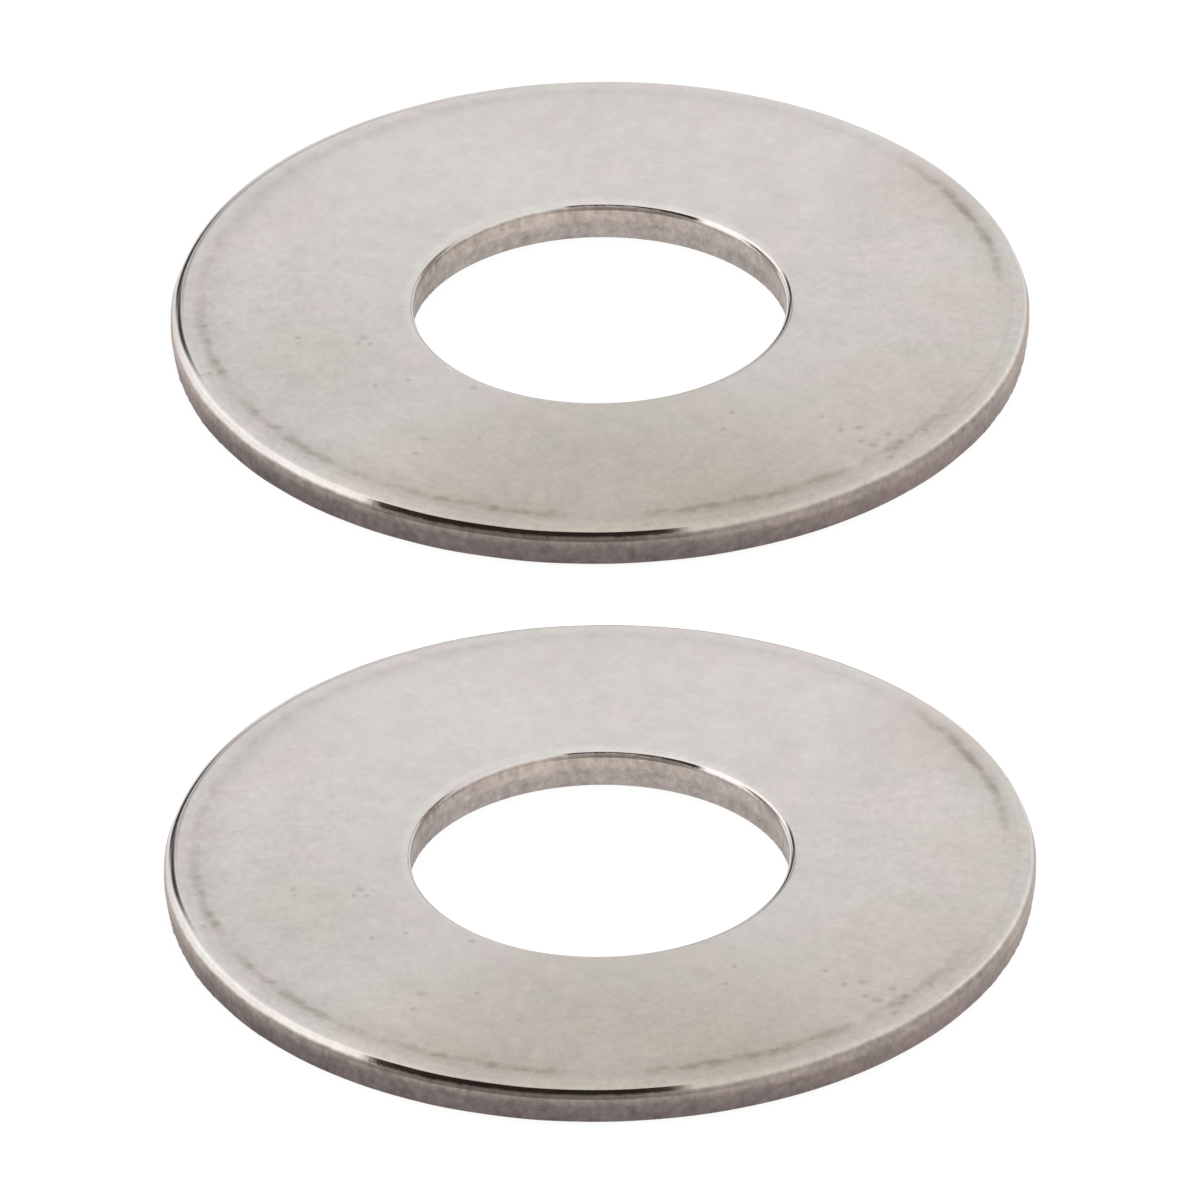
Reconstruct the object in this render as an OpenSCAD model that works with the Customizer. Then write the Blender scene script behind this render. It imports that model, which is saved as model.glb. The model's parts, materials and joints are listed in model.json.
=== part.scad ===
// Two plain stamped washers for a clevis pin, lying flat on one surface, one behind the other.
// Each is one piece of sheet, struck in one blow: the soft rolled edges of its rim and of its
// hole are both on the upper face, and the torn, slightly drawn-in edges are both underneath.
// Z is up, X is to the right, Y runs from the front washer to the rear one. The origin is on
// the surface they lie on, midway between them.

/* [Washer] */
// Outside diameter
outer_d = 30; // [26:0.5:40]
// Diameter of the pin hole, across its smooth sheared band
hole_d = 13; // [6:0.5:18]
// Thickness of the sheet
thickness = 1.5; // [1.3:0.1:3]

/* [Sheared edges] */
// Radius of the rolled upper edge round the rim
rim_roll = 0.5; // [0.2:0.05:0.5]
// Radius of the rolled upper edge round the hole
hole_roll = 0.3; // [0.1:0.05:0.5]
// Height of the smooth sheared band below the rim's rolled edge
rim_smooth = 0.25; // [0.1:0.05:0.4]
// Height of the smooth sheared band below the hole's rolled edge
hole_smooth = 0.5; // [0.2:0.05:0.6]
// How far the torn zone has drawn back from the smooth band at the underside
tear_back = 0.08; // [0.02:0.02:0.14]
// Chamfer that tumbling leaves on the lower edges
edge_break = 0.06; // [0.02:0.02:0.12]

/* [Pressed face] */
// Diameter of the flat land that the tool's pad pressed on the upper face
land_d = 28; // [20:0.5:28]
// Height of the land above the margin that runs out to the rim's rolled edge
land_step = 0.02; // [0.01:0.01:0.06]
// Width of the slope round the land
land_slope = 0.1; // [0.05:0.05:0.1]
// How far the land sits to the right of the washer's centre
land_right = 0.15; // [-0.25:0.05:0.25]

/* [Pair] */
// Clear gap between the two washers
gap = 5.8; // [1:0.1:20]

/* [Hidden] */
steel = [0.78, 0.76, 0.73];
outer_r = outer_d / 2;
hole_r = hole_d / 2;
wall_w = outer_r - hole_r;
margin_z = thickness - land_step;
spacing = outer_d + gap;
overcut = 1;
$fn = 180;

// What a rolled edge leaves off a square corner. The corner is at the origin, with the metal
// towards -X and -Y.
module corner_waste(radius) {
    translate([-radius, -radius])
        difference() {
            square(radius + overcut);
            circle(radius);
        }
}

// What the torn zone and the tumbled edge leave off a straight wall on the line X = 0, with the
// metal towards -X. The zone starts at the height tear_z and ends on the underside, Y = 0.
module tear_waste(tear_z) {
    polygon([
        [0, tear_z],
        [-tear_back, edge_break],
        [-tear_back - edge_break, 0],
        [-tear_back - edge_break, -overcut],
        [overcut, -overcut],
        [overcut, tear_z]
    ]);
}

// Both kinds of waste along one sheared wall, whose top is at top_z
module wall_waste(top_z, roll, smooth) {
    translate([0, top_z]) corner_waste(roll);
    tear_waste(top_z - roll - smooth);
}

// Section of the ring up to the height top_z, from the hole's wall to the rim
module ring_section(top_z) {
    difference() {
        translate([hole_r, 0]) square([wall_w, top_z]);
        translate([outer_r, 0]) wall_waste(margin_z, rim_roll, rim_smooth);
        translate([hole_r, 0]) mirror([1, 0]) wall_waste(thickness, hole_roll, hole_smooth);
    }
}

// The flat land on the upper face, a little off the washer's centre
module land_disc() {
    translate([land_right, 0, 0])
        cylinder(h = thickness, r1 = land_d / 2 + land_slope * thickness / land_step, r2 = land_d / 2);
}

// One washer, lying on Z = 0 about the Z axis: the full-height ring inside the land's slope,
// and the ring without the land outside it
module washer() {
    union() {
        rotate_extrude() ring_section(margin_z);
        intersection() {
            rotate_extrude() ring_section(thickness);
            land_disc();
        }
    }
}

module front_washer() {
    color(steel) translate([0, -spacing / 2, 0]) washer();
}

module rear_washer() {
    color(steel) translate([0, spacing / 2, 0]) washer();
}

front_washer();
rear_washer();
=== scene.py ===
# Looks of a pair of stamped steel pin washers, lying flat one behind the other
import json
import math

import bpy
import numpy as np
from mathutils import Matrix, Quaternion, Vector


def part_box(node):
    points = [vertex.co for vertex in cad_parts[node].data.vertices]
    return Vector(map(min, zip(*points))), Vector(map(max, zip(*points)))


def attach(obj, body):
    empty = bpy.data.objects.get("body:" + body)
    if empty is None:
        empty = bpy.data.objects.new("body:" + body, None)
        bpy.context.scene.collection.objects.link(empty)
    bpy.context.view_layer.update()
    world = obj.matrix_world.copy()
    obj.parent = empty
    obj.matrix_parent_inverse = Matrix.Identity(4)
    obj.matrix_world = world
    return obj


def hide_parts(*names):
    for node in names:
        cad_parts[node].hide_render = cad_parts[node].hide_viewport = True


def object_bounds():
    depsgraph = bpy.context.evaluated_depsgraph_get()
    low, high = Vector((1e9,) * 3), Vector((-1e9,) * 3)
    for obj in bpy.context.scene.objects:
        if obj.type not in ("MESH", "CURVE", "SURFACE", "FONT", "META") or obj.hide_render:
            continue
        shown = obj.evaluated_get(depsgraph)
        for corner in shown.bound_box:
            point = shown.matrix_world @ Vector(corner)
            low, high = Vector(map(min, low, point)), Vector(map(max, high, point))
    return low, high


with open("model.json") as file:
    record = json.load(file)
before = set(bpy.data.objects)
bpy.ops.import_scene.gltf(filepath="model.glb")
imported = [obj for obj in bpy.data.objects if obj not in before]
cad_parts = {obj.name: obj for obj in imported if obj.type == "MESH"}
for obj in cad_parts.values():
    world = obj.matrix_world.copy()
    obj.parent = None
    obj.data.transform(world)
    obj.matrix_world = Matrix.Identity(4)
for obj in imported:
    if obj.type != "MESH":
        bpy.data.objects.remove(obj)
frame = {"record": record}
CAD_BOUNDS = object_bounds()

MM = 0.001
SEED = 7

# Washer, in millimetres, from the frame and the record
NODES = ("front_washer", "rear_washer")
LOW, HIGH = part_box("front_washer")
OUTER_R = (HIGH.x - LOW.x) / 2 / MM
THICKNESS = (HIGH.z - LOW.z) / MM
MOUNTS = {mount["name"]: mount for mount in frame["record"]["mounts"]}
HOLE_R = MOUNTS["front_bore"]["dims"]["r_mm"]

# Sheared edges and pressed face, as in the part's source
RIM_ROLL = 0.5
HOLE_ROLL = 0.3
RIM_SMOOTH = 0.25
HOLE_SMOOTH = 0.5
TEAR_BACK = 0.08
EDGE_BREAK = 0.06
LAND_R = 14.0
LAND_STEP = 0.02
LAND_SLOPE = 0.1
LAND_RIGHT = 0.15
MARGIN_Z = THICKNESS - LAND_STEP
RIM_WALL_TOP = MARGIN_Z - RIM_ROLL
HOLE_WALL_TOP = THICKNESS - HOLE_ROLL
RIM_TEAR_Z = RIM_WALL_TOP - RIM_SMOOTH
HOLE_TEAR_Z = HOLE_WALL_TOP - HOLE_SMOOTH

# The slope round the land is smoothed out inwards by this much
CREASE_SOFT = 0.5

# The rolled edges are flattened a little up to this slope of their normals, in degrees. Their
# lower ends are crisp: the rings next to them are this close, in degrees and in millimetres.
ROLL_FLAT = 45
CRISP_SLOPE = 2
CRISP = 0.015

# Mesh density: segments once round, and rings along each stretch of the section
SEGMENTS = 640
LAND_RINGS = 33
CREASE_RINGS = 10
MARGIN_RINGS = 5
RIM_ROLL_RINGS = (10, 8, 1)
RIM_BAND_RINGS = 4
RIM_TORN_RINGS = 13
EDGE_RINGS = 2
UNDERSIDE_RINGS = 22
HOLE_TORN_RINGS = 12
HOLE_BAND_RINGS = 6
HOLE_ROLL_RINGS = (1, 7, 6)
SHARP_ANGLE = math.radians(30)

# Irregularities of the real stamping, in millimetres. All of them cut into the plain form.
FACE_WAVE = 0.006
RIM_WAVE = 0.02
TORN_DEPTH = 0.035

# Their waves: least and most turns round the washer, most cycles across it, how many waves. The
# cycles are counted over FACE_SPAN on the face and over a millimetre of height on the walls.
FACE_WAVES = ((1, 7), 1.0, 24)
RIM_WAVES = ((2, 40), 0.0, 24)
TORN_WAVES = ((60, 260), 2.5, 60)
FACE_SPAN = 9

# A sum of n waves peaks at about this times the root of n
WAVE_PEAK = 1.6

# How far from the rim, the hole and the upper face they reach, and over how much they fade
RIM_REACH, RIM_FADE = 0.8, 0.6
BORE_REACH, BORE_FADE = 0.6, 0.4
TOP_REACH, TOP_FADE = 0.2, 0.15
TEAR_FADE = 0.06
FOOT_FADE = 0.05

# Camera: the photograph's frame is 1200 pixels wide
FRAME_PX = 1200
PX_PER_RADIUS = 433
LIFT_PX = 7.5
ELEVATION = math.radians(32.2)
AZIMUTH = math.radians(0.343)
ROLL = math.radians(0.65)
DISTANCE = 1.95
SENSOR_MM = 36


def smoothstep(x):
    x = np.clip(x, 0, 1)
    return x * x * (3 - 2 * x)


def wave_noise(theta, height, rng, turns, cycles, count):
    """Smooth noise round the washer, within -1 to 1: a sum of waves with whole numbers of turns."""
    total = np.zeros(np.broadcast(theta, height).shape)
    for _ in range(count):
        k = rng.integers(turns[0], turns[1] + 1)
        m = rng.uniform(-cycles, cycles) * 2 * math.pi
        total += np.cos(k * theta + m * height + rng.uniform(0, 2 * math.pi))
    return np.clip(total / (WAVE_PEAK * math.sqrt(count)), -1, 1)


# Profile of the washer, ring by ring. Each function gives radii and heights as arrays of
# rings by segments, in millimetres.

def land_edge(theta):
    """Radius at which the pressed land ends, seen from the washer's centre."""
    return LAND_RIGHT * np.cos(theta) + np.sqrt(LAND_R**2 - (LAND_RIGHT * np.sin(theta)) ** 2)


def straight(r_from, z_from, r_to, z_to, steps):
    """Rings along a straight stretch of the profile, without its last point."""
    t = np.linspace(0, 1, steps, endpoint=False)[:, None]
    one = np.ones(SEGMENTS)
    return (r_from + (r_to - r_from) * t) * one, (z_from + (z_to - z_from) * t) * one


def rolled_edge(centre_r, centre_z, radius, slopes, steps):
    """Rings over a rolled edge, without its last point, as its normals tilt from slope to slope.
    Up to the slope of ROLL_FLAT the arc is cut by its chord, where the die has rubbed it."""
    spans = zip(slopes[:-1], slopes[1:], steps)
    degrees = np.concatenate([np.linspace(*span, endpoint=False) for span in spans])
    a = np.radians(degrees)[:, None]
    top = math.radians(ROLL_FLAT)
    share = a / top
    out = np.where(share < 1, 1 + (math.cos(top) - 1) * share, np.cos(a))
    up = np.where(share < 1, math.sin(top) * share, np.sin(a))
    one = np.ones(SEGMENTS)
    return (centre_r + radius * out) * one, (centre_z + abs(radius) * up) * one


def upper_face(theta):
    """The flat land, the slope round it and the margin, out to the rim's rolled edge."""
    edge = land_edge(theta)
    inner = HOLE_R + HOLE_ROLL
    outer = OUTER_R - RIM_ROLL
    land = np.linspace(0, 1, LAND_RINGS, endpoint=False)[:, None]
    crease = np.linspace(0, 1, CREASE_RINGS, endpoint=False)[:, None]
    margin = np.linspace(0, 1, MARGIN_RINGS, endpoint=False)[:, None]
    land_end = edge - CREASE_SOFT
    crease_end = np.minimum(edge + LAND_SLOPE, outer)
    radii = np.vstack([
        inner + (land_end - inner) * land,
        land_end + (crease_end - land_end) * crease,
        crease_end + (outer - crease_end) * margin,
    ])
    heights = THICKNESS - LAND_STEP * smoothstep((radii - land_end) / (LAND_SLOPE + CREASE_SOFT))
    return radii, heights


def washer_rings(theta):
    """All rings once round the section, from the hole's rolled edge outwards and back below."""
    foot_r = OUTER_R - TEAR_BACK
    hole_foot_r = HOLE_R + TEAR_BACK
    foot_in = foot_r - EDGE_BREAK
    hole_foot_in = hole_foot_r + EDGE_BREAK
    rim_crisp = RIM_WALL_TOP - CRISP
    hole_crisp = HOLE_WALL_TOP - CRISP
    rim_roll_r = OUTER_R - RIM_ROLL
    hole_roll_r = HOLE_R + HOLE_ROLL
    down = (90, ROLL_FLAT, CRISP_SLOPE, 0)
    up = down[::-1]
    parts = [
        upper_face(theta),
        rolled_edge(rim_roll_r, RIM_WALL_TOP, RIM_ROLL, down, RIM_ROLL_RINGS),
        straight(OUTER_R, RIM_WALL_TOP, OUTER_R, rim_crisp, 1),
        straight(OUTER_R, rim_crisp, OUTER_R, RIM_TEAR_Z, RIM_BAND_RINGS),
        straight(OUTER_R, RIM_TEAR_Z, foot_r, EDGE_BREAK, RIM_TORN_RINGS),
        straight(foot_r, EDGE_BREAK, foot_in, 0, EDGE_RINGS),
        straight(foot_in, 0, hole_foot_in, 0, UNDERSIDE_RINGS),
        straight(hole_foot_in, 0, hole_foot_r, EDGE_BREAK, EDGE_RINGS),
        straight(hole_foot_r, EDGE_BREAK, HOLE_R, HOLE_TEAR_Z, HOLE_TORN_RINGS),
        straight(HOLE_R, HOLE_TEAR_Z, HOLE_R, hole_crisp, HOLE_BAND_RINGS),
        straight(HOLE_R, hole_crisp, HOLE_R, HOLE_WALL_TOP, 1),
        rolled_edge(hole_roll_r, HOLE_WALL_TOP, -HOLE_ROLL, up, HOLE_ROLL_RINGS),
    ]
    return np.vstack([r for r, _ in parts]), np.vstack([z for _, z in parts])


def roughen(theta, radii, heights):
    """Takes the waves and the torn grain out of the plain form."""
    rng = np.random.default_rng(SEED)
    rim = smoothstep((radii - OUTER_R + RIM_REACH) / RIM_FADE)
    bore = smoothstep((HOLE_R + BORE_REACH - radii) / BORE_FADE)
    upper = smoothstep((heights - THICKNESS + TOP_REACH) / TOP_FADE)
    foot = smoothstep(heights / FOOT_FADE)
    face_noise = wave_noise(theta, radii / FACE_SPAN, rng, *FACE_WAVES)
    rim_noise = wave_noise(theta, heights * 0, rng, *RIM_WAVES)
    torn_noise = wave_noise(theta, heights, rng, *TORN_WAVES)
    rim_torn = rim * smoothstep((RIM_TEAR_Z - heights) / TEAR_FADE) * foot
    bore_torn = bore * smoothstep((HOLE_TEAR_Z - heights) / TEAR_FADE) * foot
    radii = radii - rim * RIM_WAVE * (0.5 + 0.5 * rim_noise)
    radii = radii - rim_torn * TORN_DEPTH * (0.5 + 0.5 * torn_noise)
    radii = radii + bore_torn * TORN_DEPTH * (0.5 + 0.5 * torn_noise)
    heights = heights - upper * FACE_WAVE * (0.5 + 0.5 * face_noise)
    return radii, heights


def washer_mesh(name):
    """One washer about its own centre, in metres, as a closed mesh of quads."""
    theta = np.linspace(-math.pi, math.pi, SEGMENTS, endpoint=False)
    radii, heights = roughen(theta, *washer_rings(theta))
    rings = len(radii)
    points = np.stack([radii * np.cos(theta), radii * np.sin(theta), heights], -1) * MM
    ring, segment = np.meshgrid(np.arange(rings), np.arange(SEGMENTS), indexing="ij")
    next_ring = (ring + 1) % rings
    next_segment = (segment + 1) % SEGMENTS
    quads = np.stack([
        ring * SEGMENTS + segment,
        next_ring * SEGMENTS + segment,
        next_ring * SEGMENTS + next_segment,
        ring * SEGMENTS + next_segment,
    ], -1)
    mesh = bpy.data.meshes.new(name)
    mesh.from_pydata(points.reshape(-1, 3).tolist(), [], quads.reshape(-1, 4).tolist())
    mesh.shade_smooth()
    mesh.set_sharp_from_angle(angle=SHARP_ANGLE)
    mesh.update()
    return mesh


# Node helpers

class Tree:
    """Short calls that add nodes to a material's or world's tree and link them."""

    def __init__(self, tree):
        self.tree = tree
        tree.nodes.clear()

    def node(self, kind, inputs=None, **settings):
        made = self.tree.nodes.new(kind)
        for key, value in settings.items():
            setattr(made, key, value)
        for key, value in (inputs or {}).items():
            if isinstance(value, bpy.types.NodeSocket):
                self.tree.links.new(value, made.inputs[key])
            else:
                made.inputs[key].default_value = value
        return made

    def math(self, operation, a, b=0.0, c=0.0, clamp=False):
        inputs = {0: a, 1: b, 2: c}
        return self.node("ShaderNodeMath", inputs, operation=operation, use_clamp=clamp).outputs[0]

    def product(self, a, b):
        return self.math("MULTIPLY", a, b)

    def most(self, a, b):
        return self.math("MAXIMUM", a, b)

    def add(self, mask, amount, base):
        """base, with the amount added where the mask is 1."""
        return self.math("MULTIPLY_ADD", mask, amount, base)

    def vary(self, base, noise, span):
        """base, moved up and down over a span by a noise between 0 and 1."""
        return self.math("MULTIPLY_ADD", self.math("SUBTRACT", noise, 0.5), span, base)

    def vector(self, operation, a, b=(0, 0, 0)):
        made = self.node("ShaderNodeVectorMath", {0: a, 1: b}, operation=operation)
        is_number = operation in ("LENGTH", "DISTANCE", "DOT_PRODUCT")
        return made.outputs["Value" if is_number else "Vector"]

    def distance(self, place, point):
        return self.vector("DISTANCE", place, point)

    def step(self, value, low, high, to_low=0.0, to_high=1.0):
        """Goes smoothly from to_low to to_high as value goes from low to high."""
        made = self.node(
            "ShaderNodeMapRange",
            {"Value": value, "From Min": low, "From Max": high, "To Min": to_low, "To Max": to_high},
            interpolation_type="SMOOTHSTEP",
        )
        return made.outputs["Result"]

    def ramp(self, value, stops):
        """A piecewise linear curve through stops of (position, value)."""
        made = self.node("ShaderNodeValToRGB", {"Fac": value})
        elements = made.color_ramp.elements
        while len(elements) > 1:
            elements.remove(elements[-1])
        for index, (position, level) in enumerate(stops):
            element = elements[0] if index == 0 else elements.new(position)
            element.position = position
            element.color = (level, level, level, 1)
        return made.outputs["Color"]

    def noise(self, place, scale, detail, roughness=0.5):
        made = self.node(
            "ShaderNodeTexNoise",
            {"Vector": place, "Scale": scale, "Detail": detail, "Roughness": roughness},
        )
        return made.outputs["Fac"]

    def mix(self, factor, a, b):
        """Mixes two colours."""
        made = self.node("ShaderNodeMix", data_type="RGBA")
        for key, value in (("Factor", factor), ("A", a), ("B", b)):
            socket = [s for s in made.inputs if s.name == key and s.enabled][0]
            if isinstance(value, bpy.types.NodeSocket):
                self.tree.links.new(value, socket)
            else:
                socket.default_value = value if key == "Factor" else (*value, 1)
        return [s for s in made.outputs if s.enabled][0]

    def scale_colour(self, colour, factor):
        made = self.node("ShaderNodeVectorMath", {0: colour, "Scale": factor}, operation="SCALE")
        return made.outputs["Vector"]


# Steel, with all lengths in millimetres from the washer's own centre. Bare numbers in a step along
# X, Y or Z are the two places between which the look changes in the photograph.

WHITE = (1, 1, 1)
FACE_COLOUR = (0.706, 0.668, 0.643)

# Patches painted on the faces, darker, lighter and warmer: partly painted shade and light, partly
# tinting, the first darkening the front: x, y, clear radius, outer radius, tinting factor
FACE_SHADE_PATCHES = (
    (1.0, -14.0, 2.5, 12.0, (0.815, 0.785, 0.725)),
    (6.5, -12.0, 0.5, 5.0, (0.98, 0.965, 0.945)),
    (-6.5, -11.5, 0.5, 4.5, (1.0, 0.975, 0.94)),
    (11.5, -7.5, 1.0, 7.0, (0.95, 0.915, 0.87)),
    (13.0, 0.0, 0.5, 4.0, (1.0, 0.985, 0.96)),
    (11.8, 7.0, 0.5, 4.5, (0.93, 0.905, 0.885)),
    (-11.5, 7.0, 0.5, 4.0, (0.97, 0.96, 0.965)),
    (-5.0, 8.5, 1.0, 5.0, (1.01, 1.015, 1.015)),
    (-8.0, -9.0, 1.0, 5.0, (0.98, 0.985, 0.98)),
    (-10.0, -4.0, 1.0, 4.5, (0.96, 0.96, 0.94)),
)
# Colours of the sheared walls, smooth band and torn zone, at the rim and in the hole. The hole's are
# painted lighter than the rim's, as painted light on the same steel.
RIM_SMOOTH_COLOUR = (0.335, 0.285, 0.255)
RIM_TORN_COLOUR = (0.225, 0.183, 0.172)
HOLE_SMOOTH_COLOUR = (0.50, 0.43, 0.38)
HOLE_TORN_COLOUR = (0.435, 0.385, 0.36)
STAIN_COLOUR = (0.24, 0.19, 0.14)
PIT_COLOUR = (0.22, 0.19, 0.165)
GRAZING_TINT = (0.84, 0.83, 0.82, 1)
HOLE_RIGHT_TINT = (0.92, 0.94, 0.99)
CASTS = ((1.012, 0.99, 1.0), (0.99, 1.006, 0.992))

# A circle between the hole and the rim, which parts their zones over this width
MID_R = 10.0
MID_FADE = 0.2

# Noises: scale, detail and roughness
BLOTCH = (0.3, 3, 0.55)
MOTTLE = (1.1, 4, 0.6)
GRAIN = (3.6, 5, 0.7)
CAST = (0.45, 3, 0.6)
CLOUD = (0.9, 3, 0.6)
STREAKS = (4.0, 4, 0.65)
SPECKLE = (3.6, 4, 0.7)
SATIN = (9.0, 4, 0.6)
WAVER = (1.1, 3)
RAGGED = (2.6, 4, 0.6)
CREASE_WOBBLE = (1.3, 3)
CREASE_BREAKS = (1.7, 3, 0.55)

# How far the tear's start and the wall's end waver: in millimetres, and as a share of the roll
WAVER_HEIGHT = 0.24
RAGGED_SHARE = 0.2

# Shares of the roll's height between which the wall's look ends, and how much further up it goes
# at the middle of the hole and at the right of the rim
WALL_END = (0.1, 0.42)
MIDDLE_REACH = 0.15
RIGHT_REACH = 0.15

# Heights over which the torn zone's look fades in, and how much more that takes on the rim
TEAR_BLEND = (-0.1, 0.1)
RIM_TEAR_BLEND = 0.2

# Where the polish of the rolled edges fades in: distances outwards at the rim, inwards at the hole
RIM_POLISH = (-0.15, 0.1)
HOLE_POLISH = (-0.1, 0.05)
# Where the painted highlight on the rolled edges fades in, over the same kind of distances
RIM_HIGHLIGHT_SPAN = (0.2, 0.4)
HOLE_HIGHLIGHT_SPAN = (0.1, 0.24)

# How much each noise lightens and darkens the faces and the walls
BLOTCH_SPAN = 0.10
MOTTLE_SPAN = 0.22
GRAIN_SPAN = 0.24
GRAIN_EXTRA = 0.16
CLOUD_SPAN = 0.7
STREAK_SPAN = 0.3
SPECKLE_SPAN = 0.85

# Levels of the faces and the walls, with the painted shade at the front and the painted highlight on
# the rolled edges
FRONT_SHADE = 0.925
RIGHT_MARGIN_SHADE = -0.07
PAINTED_HIGHLIGHT = 0.18
WALL_SHADE = 0.865
STAIN_SHARE = 0.78
PIT_SHARE = 0.36

# Roughness
FACE_ROUGH = 0.33
MOTTLE_ROUGH = 0.10
STAIN_ROUGH = 0.2
POLISH_ROUGH = -0.23
WALL_ROUGH = 0.38
TORN_ROUGH = 0.1

# Relief, in micrometres
MICROMETRE = 1e-6
SATIN_RELIEF = 1.2
SPECKLE_RELIEF = 40.0
STREAK_RELIEF = 8.0

# Dirt in the crease: its line lies a little inside the land's edge on the right
CREASE_RIGHT = LAND_RIGHT - 0.1
CREASE_WIDTH = 0.42
HALO_WIDTH = 1.3
HALO_SHARE = 0.28
WOBBLE_WIDTH = 0.3

# How strong it is round the washer: azimuth in degrees, share
RING_STAIN = (
    (-180, 0.33), (-165, 0.45), (-155, 0.3), (-145, 0.58), (-138, 0.6), (-128, 0.5), (-120, 0.32),
    (-113, 0.62), (-103, 0.74), (-97, 0.5), (-93, 0.05), (-86, 0.05), (-81, 0.66), (-72, 0.66),
    (-62, 0.78), (-55, 0.5), (-50, 0.22), (-43, 0.5), (-36, 0.42), (-29, 0.28), (-22, 0.1), (0, 0.1),
    (8, 0.4), (16, 0.75), (24, 0.76), (33, 0.5), (42, 0.18), (60, 0.12), (125, 0.2), (165, 0.3),
    (180, 0.33),
)

# Single pits seen on the face and in its crease: x, y and radius
PITS = (
    (-10.55, -2.25, 0.17), (-10.5, -2.6, 0.11), (-8.22, -2.3, 0.2), (-8.45, -2.65, 0.12),
    (-8.0, -2.7, 0.11), (-7.8, -5.4, 0.13), (-6.65, -5.1, 0.12), (-4.4, -5.65, 0.17),
    (-6.1, -9.0, 0.17), (-6.4, -9.9, 0.13), (-4.2, -9.0, 0.13), (-13.15, -4.4, 0.24),
    (-13.4, -3.8, 0.22), (-13.6, -4.5, 0.14), (-13.7, -2.4, 0.18), (-13.8, -1.4, 0.14),
    (-12.0, -7.0, 0.17), (-11.2, -8.1, 0.18), (4.6, -7.4, 0.12), (4.3, -8.5, 0.12),
    (7.7, -7.7, 0.13), (9.0, -8.45, 0.2), (8.4, -8.6, 0.17), (10.0, -8.9, 0.17),
    (9.1, -9.35, 0.15), (9.5, -9.6, 0.2), (10.0, -9.85, 0.2), (10.3, -9.8, 0.15),
    (10.5, -9.35, 0.2), (10.1, -10.4, 0.17), (10.8, -9.0, 0.15), (11.3, -8.6, 0.14),
    (12.0, -7.65, 0.14),
)

# Where a pit has faded out, in radii, and how far noise moves its outline, in millimetres
PIT_EDGE = 1.3
PIT_RAGGED = 0.25
PIT_NOISE = {"Scale": 5.0, "Detail": 3.0}

# A random scatter of finer pits: cells a millimetre, share of cells with one, radius, darkness
SCATTER_SCALE = 1.6
SCATTER_CHANCE = 0.12
SCATTER_R = 0.13
SCATTER_SHARE = 0.5


def stain_mask(t, flat, place):
    """Brown dirt in the crease round the pressed land, broken up along its length."""
    wobble = t.add(t.noise(place, *CREASE_WOBBLE), WOBBLE_WIDTH, -WOBBLE_WIDTH / 2)
    away = t.math("SUBTRACT", t.distance(flat, (CREASE_RIGHT, 0, 0)), LAND_R)
    away = t.math("ABSOLUTE", t.math("ADD", away, wobble))
    line = t.step(away, 0.0, CREASE_WIDTH, 1.0, 0.0)
    halo = t.product(t.step(away, 0.0, HALO_WIDTH, 1.0, 0.0), HALO_SHARE)
    turn = t.node("ShaderNodeTexGradient", {"Vector": flat}, gradient_type="RADIAL").outputs["Fac"]
    level = t.ramp(turn, [(azimuth / 360 + 0.5, share) for azimuth, share in RING_STAIN])
    broken = t.step(t.noise(place, *CREASE_BREAKS), 0.36, 0.6, 0.5, 1.05)
    line = t.product(line, broken)
    return t.math("MULTIPLY", t.most(line, halo), level, clamp=True)


def pit_mask(t, flat, place):
    """Small dark pits: the single ones, and a fine random scatter."""
    ragged = t.node("ShaderNodeTexNoise", {"Vector": place, **PIT_NOISE})
    shift = t.vector("SUBTRACT", ragged.outputs["Color"], (0.5, 0.5, 0.5))
    shift = t.scale_colour(shift, PIT_RAGGED)
    flat = t.vector("MULTIPLY", t.vector("ADD", flat, shift), (1, 1, 0))
    single = 0.0
    for x, y, radius in PITS:
        gap = t.distance(flat, (x, y, 0))
        single = t.math("ADD", t.step(gap, 0.0, radius * PIT_EDGE, 1.0, 0.0), single)
    settings = {"Vector": flat, "Scale": SCATTER_SCALE, "Randomness": 1.0}
    cells = t.node("ShaderNodeTexVoronoi", settings)
    chance = t.node("ShaderNodeSeparateColor", {"Color": cells.outputs["Color"]}).outputs["Red"]
    few = t.math("LESS_THAN", chance, SCATTER_CHANCE)
    spot = t.step(cells.outputs["Distance"], 0.0, SCATTER_R, 1.0, 0.0)
    scatter = t.product(t.product(spot, few), SCATTER_SHARE)
    return t.math("MAXIMUM", single, scatter, clamp=True)


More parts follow.
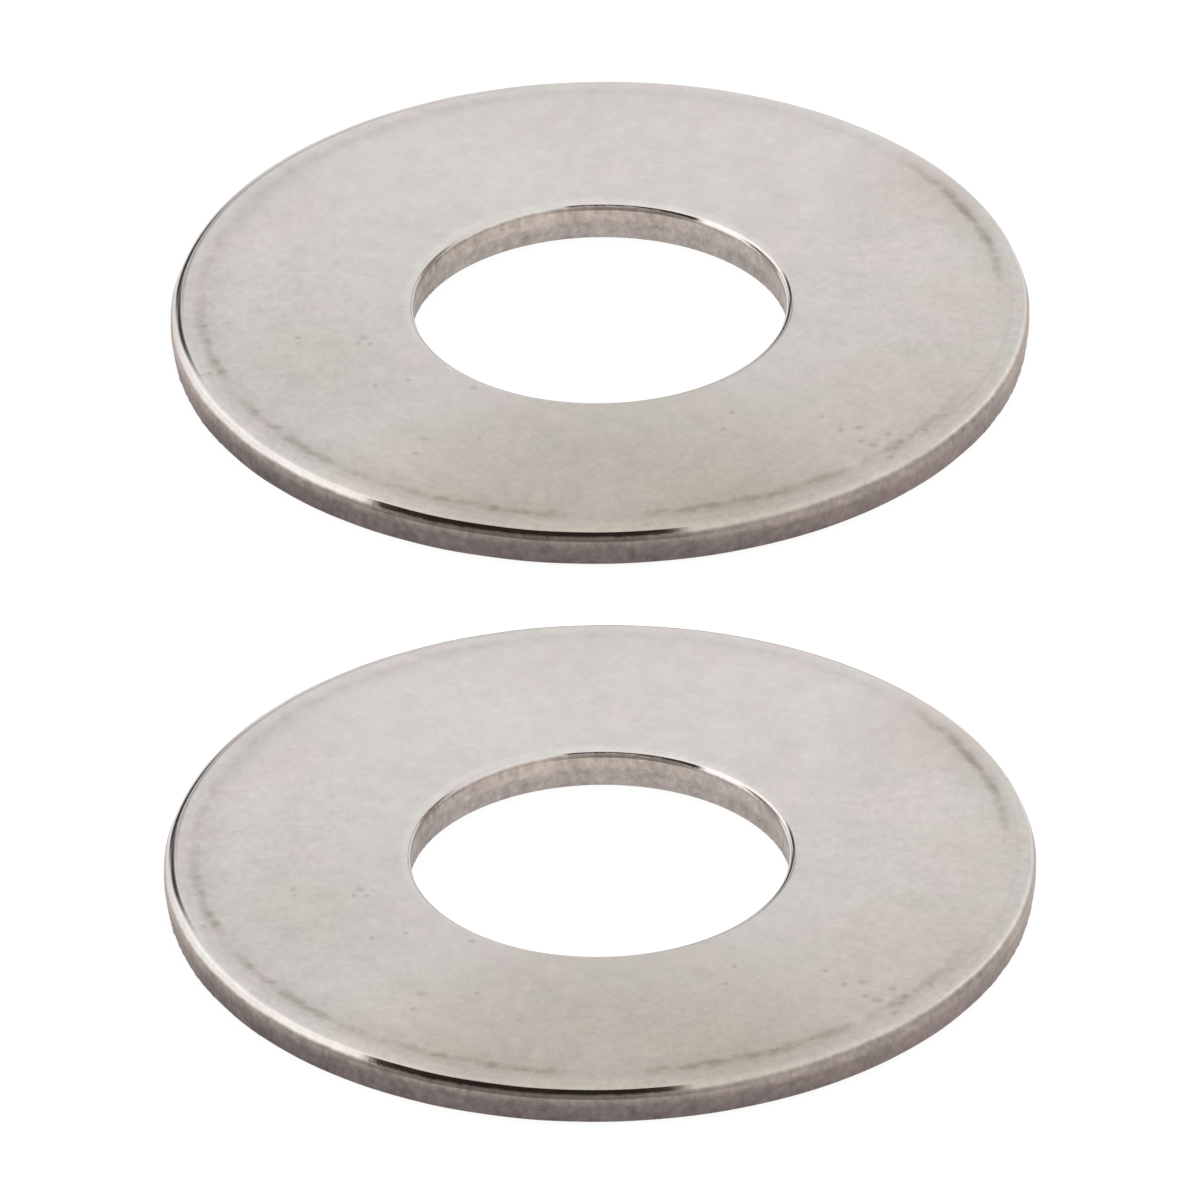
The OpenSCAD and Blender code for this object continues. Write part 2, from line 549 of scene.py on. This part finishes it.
class Zones:
    """Masks of the zones of a washer, from 0 to 1, and the distances that they come from."""

    def __init__(self, t, place):
        self.flat = t.vector("MULTIPLY", place, (1, 1, 0))
        axes = t.node("ShaderNodeSeparateXYZ", {0: place}).outputs
        self.x, self.y, self.z = axes["X"], axes["Y"], axes["Z"]
        self.aside = t.math("ABSOLUTE", self.x)
        radius = t.vector("LENGTH", self.flat)
        self.is_rim = t.step(radius, MID_R - MID_FADE / 2, MID_R + MID_FADE / 2)
        self.in_hole = t.math("SUBTRACT", 1.0, self.is_rim)

        # The torn zone starts at a wavering height
        tear_z = t.add(t.noise(place, *WAVER), WAVER_HEIGHT, RIM_TEAR_Z - WAVER_HEIGHT / 2)
        above = t.math("SUBTRACT", self.z, tear_z)
        end = t.add(self.is_rim, RIM_TEAR_BLEND, TEAR_BLEND[1])
        self.torn = t.step(above, TEAR_BLEND[0], end, 1.0, 0.0)

        # The dull wall ends on a ragged line, a share of the way up the rolled edge
        roll_z = t.add(self.is_rim, RIM_WALL_TOP - HOLE_WALL_TOP, HOLE_WALL_TOP)
        roll_part = t.add(self.is_rim, RIM_ROLL - HOLE_ROLL, HOLE_ROLL)
        gap = t.math("DIVIDE", t.math("SUBTRACT", self.z, roll_z), roll_part)
        ragged = t.add(t.noise(place, *RAGGED), RAGGED_SHARE, -RAGGED_SHARE / 2)
        hole_reach = t.product(t.step(self.aside, 1.5, 4.0, MIDDLE_REACH, 0.0), self.in_hole)
        rim_reach = t.product(self.is_rim, RIGHT_REACH)
        reach = t.add(t.step(self.x, 2.0, 9.0), rim_reach, hole_reach)
        gap = t.math("SUBTRACT", t.math("ADD", gap, ragged), reach)
        self.wall = t.product(t.step(gap, *WALL_END, 1.0, 0.0), t.step(self.z, 0.0, 0.04))

        self.from_rim = t.math("SUBTRACT", radius, OUTER_R - RIM_ROLL)
        self.from_hole = t.math("SUBTRACT", HOLE_R + HOLE_ROLL, radius)
        rim_roll = t.step(self.from_rim, *RIM_POLISH)
        self.roll = t.most(rim_roll, t.step(self.from_hole, *HOLE_POLISH))


def face_colour(t, place, zone, mottle):
    """Faces and rolled edges: patches of painted shade and tinting, painted shade towards the front,
    mottled grain, and painted highlight on the rolled edges.
    """
    # Patches of painted shade and light, with some tinting
    shade_and_tint = FACE_COLOUR
    for x, y, clear, outer, patch_shading in FACE_SHADE_PATCHES:
        near = t.step(t.distance(zone.flat, (x, y, 0)), clear, outer, 1.0, 0.0)
        shade_and_tint = t.vector("MULTIPLY", shade_and_tint, t.mix(near, WHITE, patch_shading))

    # The grain is livelier at the two sides and in front
    sides = t.product(t.step(zone.aside, 5.0, 11.0), t.step(zone.y, 3.0, 9.0, 1.0, 0.0))
    front = t.step(zone.y, -11.0, -6.0, 1.0, 0.0)
    grain_span = t.add(t.most(sides, front), GRAIN_EXTRA, GRAIN_SPAN)
    # Painted shade: the faces are darker towards the front
    shade = t.step(zone.y, -2.0, 8.0, FRONT_SHADE, 1.0)
    shade = t.vary(shade, t.noise(place, *BLOTCH), BLOTCH_SPAN)
    shade = t.vary(shade, mottle, MOTTLE_SPAN)
    shade = t.vary(shade, t.noise(place, *GRAIN), grain_span)

    # The margin outside the land is darker on the right
    outside = t.step(t.distance(zone.flat, (LAND_RIGHT, 0, 0)), LAND_R, LAND_R + 0.3)
    on_right = t.product(t.step(zone.x, 2.0, 9.0), t.step(zone.y, -1.0, 4.0, 1.0, 0.0))
    shade = t.add(t.product(outside, on_right), RIGHT_MARGIN_SHADE, shade)

    # The rolled edges are painted paler at the front of the rim and at the right of the hole: a painted
    # highlight where their highlights fall
    rim_front_highlight = t.product(t.step(zone.from_rim, *RIM_HIGHLIGHT_SPAN), t.step(zone.y, -5.0, 1.0, 1.0, 0.0))
    hole_right_highlight = t.product(t.step(zone.from_hole, *HOLE_HIGHLIGHT_SPAN), t.step(zone.x, -6.0, 4.0, 0.1, 1.15))
    shade = t.add(t.most(rim_front_highlight, hole_right_highlight), PAINTED_HIGHLIGHT, shade)
    cast = t.mix(t.step(t.noise(place, *CAST), 0.35, 0.65), *CASTS)
    return t.vector("MULTIPLY", t.scale_colour(shade_and_tint, shade), cast)


def wall_colour(t, place, zone, streaks, speckle):
    """Sheared walls: a smooth band above, and a darker, streaked and speckled torn zone below, with
    painted shade and light by place.
    """
    smooth_band = t.mix(zone.is_rim, HOLE_SMOOTH_COLOUR, RIM_SMOOTH_COLOUR)
    torn_band = t.mix(zone.is_rim, HOLE_TORN_COLOUR, RIM_TORN_COLOUR)
    colour = t.mix(zone.torn, smooth_band, torn_band)
    in_hole_band = t.math("SUBTRACT", zone.in_hole, zone.torn, clamp=True)
    cool = t.product(t.step(zone.x, 2.0, 4.5), in_hole_band)
    colour = t.vector("MULTIPLY", colour, t.mix(cool, WHITE, HOLE_RIGHT_TINT))

    # Painted shade and light by place, each mask with what it adds: darker low on the rim's wall,
    # lighter towards its right and at its two ends, lighter in the hole, darker at the hole's left
    low = t.product(t.step(zone.z, 0.05, 0.6, 1.0, 0.0), zone.is_rim)
    right = t.product(t.step(zone.x, -2.0, 14.0), zone.is_rim)
    far_right = t.product(t.step(zone.x, 7.5, 13.0), zone.is_rim)
    ends = t.product(t.step(zone.aside, 13.0, 14.8), zone.is_rim)
    hole_left = t.product(t.step(zone.x, -6.2, -3.4, 1.0, 0.0), zone.in_hole)
    shade = WALL_SHADE
    for mask, amount in (
        (low, -0.12),
        (right, 0.34),
        (far_right, t.add(zone.torn, 0.45, -0.25)),
        (ends, 0.4),
        (zone.in_hole, 0.12),
        (hole_left, t.add(zone.torn, 0.16, -0.22)),
    ):
        shade = t.add(mask, amount, shade)
    shade = t.vary(shade, t.noise(place, *CLOUD), CLOUD_SPAN)
    shade = t.vary(shade, streaks, STREAK_SPAN)
    shade = t.vary(shade, speckle, SPECKLE_SPAN)
    return t.scale_colour(colour, shade)


def steel():
    """Satin tumbled steel: soft mottled faces with painted shade, polished rolled edges with painted
    highlight, and dull sheared walls with painted shade and light.
    """
    material = bpy.data.materials.new("washer_steel")
    material.use_nodes = True
    t = Tree(material.node_tree)
    coords = t.node("ShaderNodeTexCoord").outputs["Object"]
    place = t.scale_colour(coords, 1 / MM)
    zone = Zones(t, place)
    stain = stain_mask(t, zone.flat, place)
    pits = pit_mask(t, zone.flat, place)
    mottle = t.noise(place, *MOTTLE)
    speckle = t.noise(place, *SPECKLE)
    streaks = t.noise(t.vector("MULTIPLY", place, (1, 1, 0.2)), *STREAKS)

    face = face_colour(t, place, zone, mottle)
    face = t.mix(t.product(stain, STAIN_SHARE), face, STAIN_COLOUR)
    face = t.mix(t.product(pits, PIT_SHARE), face, PIT_COLOUR)
    colour = t.mix(zone.wall, face, wall_colour(t, place, zone, streaks, speckle))

    rough = t.vary(FACE_ROUGH, mottle, MOTTLE_ROUGH)
    rough = t.add(stain, STAIN_ROUGH, rough)
    rough = t.add(zone.roll, POLISH_ROUGH, rough)
    wall_rough = t.add(zone.torn, TORN_ROUGH, WALL_ROUGH)
    to_wall = t.math("SUBTRACT", wall_rough, rough)
    rough = t.math("MULTIPLY_ADD", zone.wall, to_wall, rough, clamp=True)

    relief = t.product(t.noise(place, *SATIN), SATIN_RELIEF)
    torn_wall = t.product(zone.torn, zone.wall)
    relief = t.add(torn_wall, t.product(speckle, SPECKLE_RELIEF), relief)
    relief = t.add(zone.wall, t.product(streaks, STREAK_RELIEF), relief)
    bump = t.node("ShaderNodeBump", {"Height": relief, "Strength": 1.0, "Distance": MICROMETRE})

    shader = t.node(
        "ShaderNodeBsdfPrincipled",
        {"Base Color": colour, "Roughness": rough, "Metallic": 1.0, "Normal": bump.outputs["Normal"],
         "Specular Tint": GRAZING_TINT},
    )
    t.node("ShaderNodeOutputMaterial", {"Surface": shader.outputs[0]})
    return material


# Studio. A patch of the sky is its azimuth and elevation, and its inner and outer half angles, all in
# degrees. The camera's azimuth is 270. The level is that of a white tent with two windows on the left,
# the low dim room in front of it, and dark gaps in it at the rear.

TENT_LEVEL = 0.905
REAR_GLOW = (105, 40, 30, 95)
REAR_GLOW_LEVEL = 0.09
RIGHT_GLOW = (320, 0, 12, 45)
RIGHT_GLOW_LEVEL = 0.06
WINDOWS = ((160, 8, 12, 40), (186, 12, 12, 40))
WINDOW_LEVEL = 0.32
ROOM = (250, 8, 36, 42)
ROOM_DARKNESS = -0.97
ROOM_TINT = (1, 0.74, 0.64)
GAPS = ((112, 8, 5, 13), (119, 23, 4, 12))
FAINT_GAP = (99, 24, 3, 9)
FAINT_GAP_SHARE = 0.5
GAP_DARKNESS = -0.93

# Heights, as sines of the elevation, between which the room fades out upwards
ROOM_TOP = (0.28, 0.4)

# Table, in metres: its top is a hair below the washers, so that it doesn't touch their undersides
TABLE_HALF = 6.0
TABLE_Z = -0.00002
TABLE_GLOW = 0.82
TABLE_GREY = 0.30


def direction(azimuth, elevation):
    """Unit vector towards a compass point, in degrees from +X, and a height above the horizon."""
    a, e = math.radians(azimuth), math.radians(elevation)
    return (math.cos(a) * math.cos(e), math.sin(a) * math.cos(e), math.sin(e))


def patch(t, ray, azimuth, elevation, inner, outer):
    """1 inside a round patch of the sky, 0 outside it, with a soft edge between two half angles."""
    cosine = t.vector("DOT_PRODUCT", ray, direction(azimuth, elevation))
    return t.step(cosine, math.cos(math.radians(outer)), math.cos(math.radians(inner)))


def studio_world():
    """A soft pale tent, brighter behind and on the left, with the dim room in front of it."""
    world = bpy.data.worlds.new("studio")
    bpy.context.scene.world = world
    world.use_nodes = True
    t = Tree(world.node_tree)
    ray = t.node("ShaderNodeTexCoord").outputs["Generated"]
    level = t.add(patch(t, ray, *REAR_GLOW), REAR_GLOW_LEVEL, TENT_LEVEL)
    level = t.add(patch(t, ray, *RIGHT_GLOW), RIGHT_GLOW_LEVEL, level)
    windows = t.most(*[patch(t, ray, *window) for window in WINDOWS])
    level = t.add(windows, WINDOW_LEVEL, level)
    rise = t.node("ShaderNodeSeparateXYZ", {0: ray}).outputs["Z"]
    room = t.product(patch(t, ray, *ROOM), t.step(rise, *ROOM_TOP, 1.0, 0.0))
    level = t.product(level, t.add(room, ROOM_DARKNESS, 1.0))
    gaps = t.most(*[patch(t, ray, *gap) for gap in GAPS])
    gaps = t.most(gaps, t.product(patch(t, ray, *FAINT_GAP), FAINT_GAP_SHARE))
    level = t.product(level, t.add(gaps, GAP_DARKNESS, 1.0))

    colour = t.mix(room, WHITE, ROOM_TINT)
    lit = t.node("ShaderNodeBackground", {"Color": colour, "Strength": level})
    plain = t.node("ShaderNodeBackground", {"Color": (*WHITE, 1), "Strength": 1.0})
    seen = t.node("ShaderNodeLightPath").outputs["Is Camera Ray"]
    both = t.node("ShaderNodeMixShader", {0: seen, 1: lit.outputs[0], 2: plain.outputs[0]})
    t.node("ShaderNodeOutputWorld", {"Surface": both.outputs[0]})


def floor():
    """A plain white table that keeps a soft shadow."""
    mesh = bpy.data.meshes.new("floor")
    signs = ((-1, -1), (1, -1), (1, 1), (-1, 1))
    corners = [(x * TABLE_HALF, y * TABLE_HALF, TABLE_Z) for x, y in signs]
    mesh.from_pydata(corners, [], [(0, 1, 2, 3)])
    plane = bpy.data.objects.new("floor", mesh)
    bpy.context.scene.collection.objects.link(plane)
    material = bpy.data.materials.new("white_table")
    material.use_nodes = True
    t = Tree(material.node_tree)
    path = t.node("ShaderNodeLightPath").outputs
    seen = t.most(path["Is Camera Ray"], path["Is Glossy Ray"])
    seen = t.most(seen, path["Is Transmission Ray"])
    glow = t.node("ShaderNodeEmission", {"Color": (*WHITE, 1), "Strength": t.product(seen, TABLE_GLOW)})
    matt = t.node("ShaderNodeBsdfDiffuse", {"Color": (TABLE_GREY, TABLE_GREY, TABLE_GREY, 1)})
    both = t.node("ShaderNodeAddShader", {0: glow.outputs[0], 1: matt.outputs[0]})
    t.node("ShaderNodeOutputMaterial", {"Surface": both.outputs[0]})
    mesh.materials.append(material)


def camera():
    """Long lens at the photograph's angle, turned a little so that one stands above the other."""
    data = bpy.data.cameras.new("camera")
    pixel = OUTER_R * MM / PX_PER_RADIUS
    data.sensor_width = SENSOR_MM
    data.lens = SENSOR_MM * DISTANCE / (FRAME_PX * pixel)
    data.clip_start = 0.1
    data.clip_end = 20
    made = bpy.data.objects.new("camera", data)
    bpy.context.scene.collection.objects.link(made)
    back = Vector((
        math.sin(AZIMUTH) * math.cos(ELEVATION),
        -math.cos(AZIMUTH) * math.cos(ELEVATION),
        math.sin(ELEVATION),
    ))
    low, high = CAD_BOUNDS
    made.rotation_mode = "QUATERNION"
    made.rotation_quaternion = back.to_track_quat("Z", "Y") @ Quaternion((0, 0, 1), -ROLL)
    up = made.rotation_quaternion @ Vector((0, 1, 0))
    made.location = (low + high) / 2 + back * DISTANCE - up * LIFT_PX * pixel
    bpy.context.scene.camera = made


def washers():
    """The two washers, each in its CAD node's place."""
    finish = steel()
    for node in NODES:
        low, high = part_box(node)
        mesh = washer_mesh(node + "_looks")
        mesh.materials.append(finish)
        piece = bpy.data.objects.new(node + "_looks", mesh)
        bpy.context.scene.collection.objects.link(piece)
        piece.location = ((low.x + high.x) / 2, (low.y + high.y) / 2, low.z)
        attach(piece, "root")
        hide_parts(node)


studio_world()
floor()
camera()
washers()
bpy.context.scene.view_settings.view_transform = "Standard"
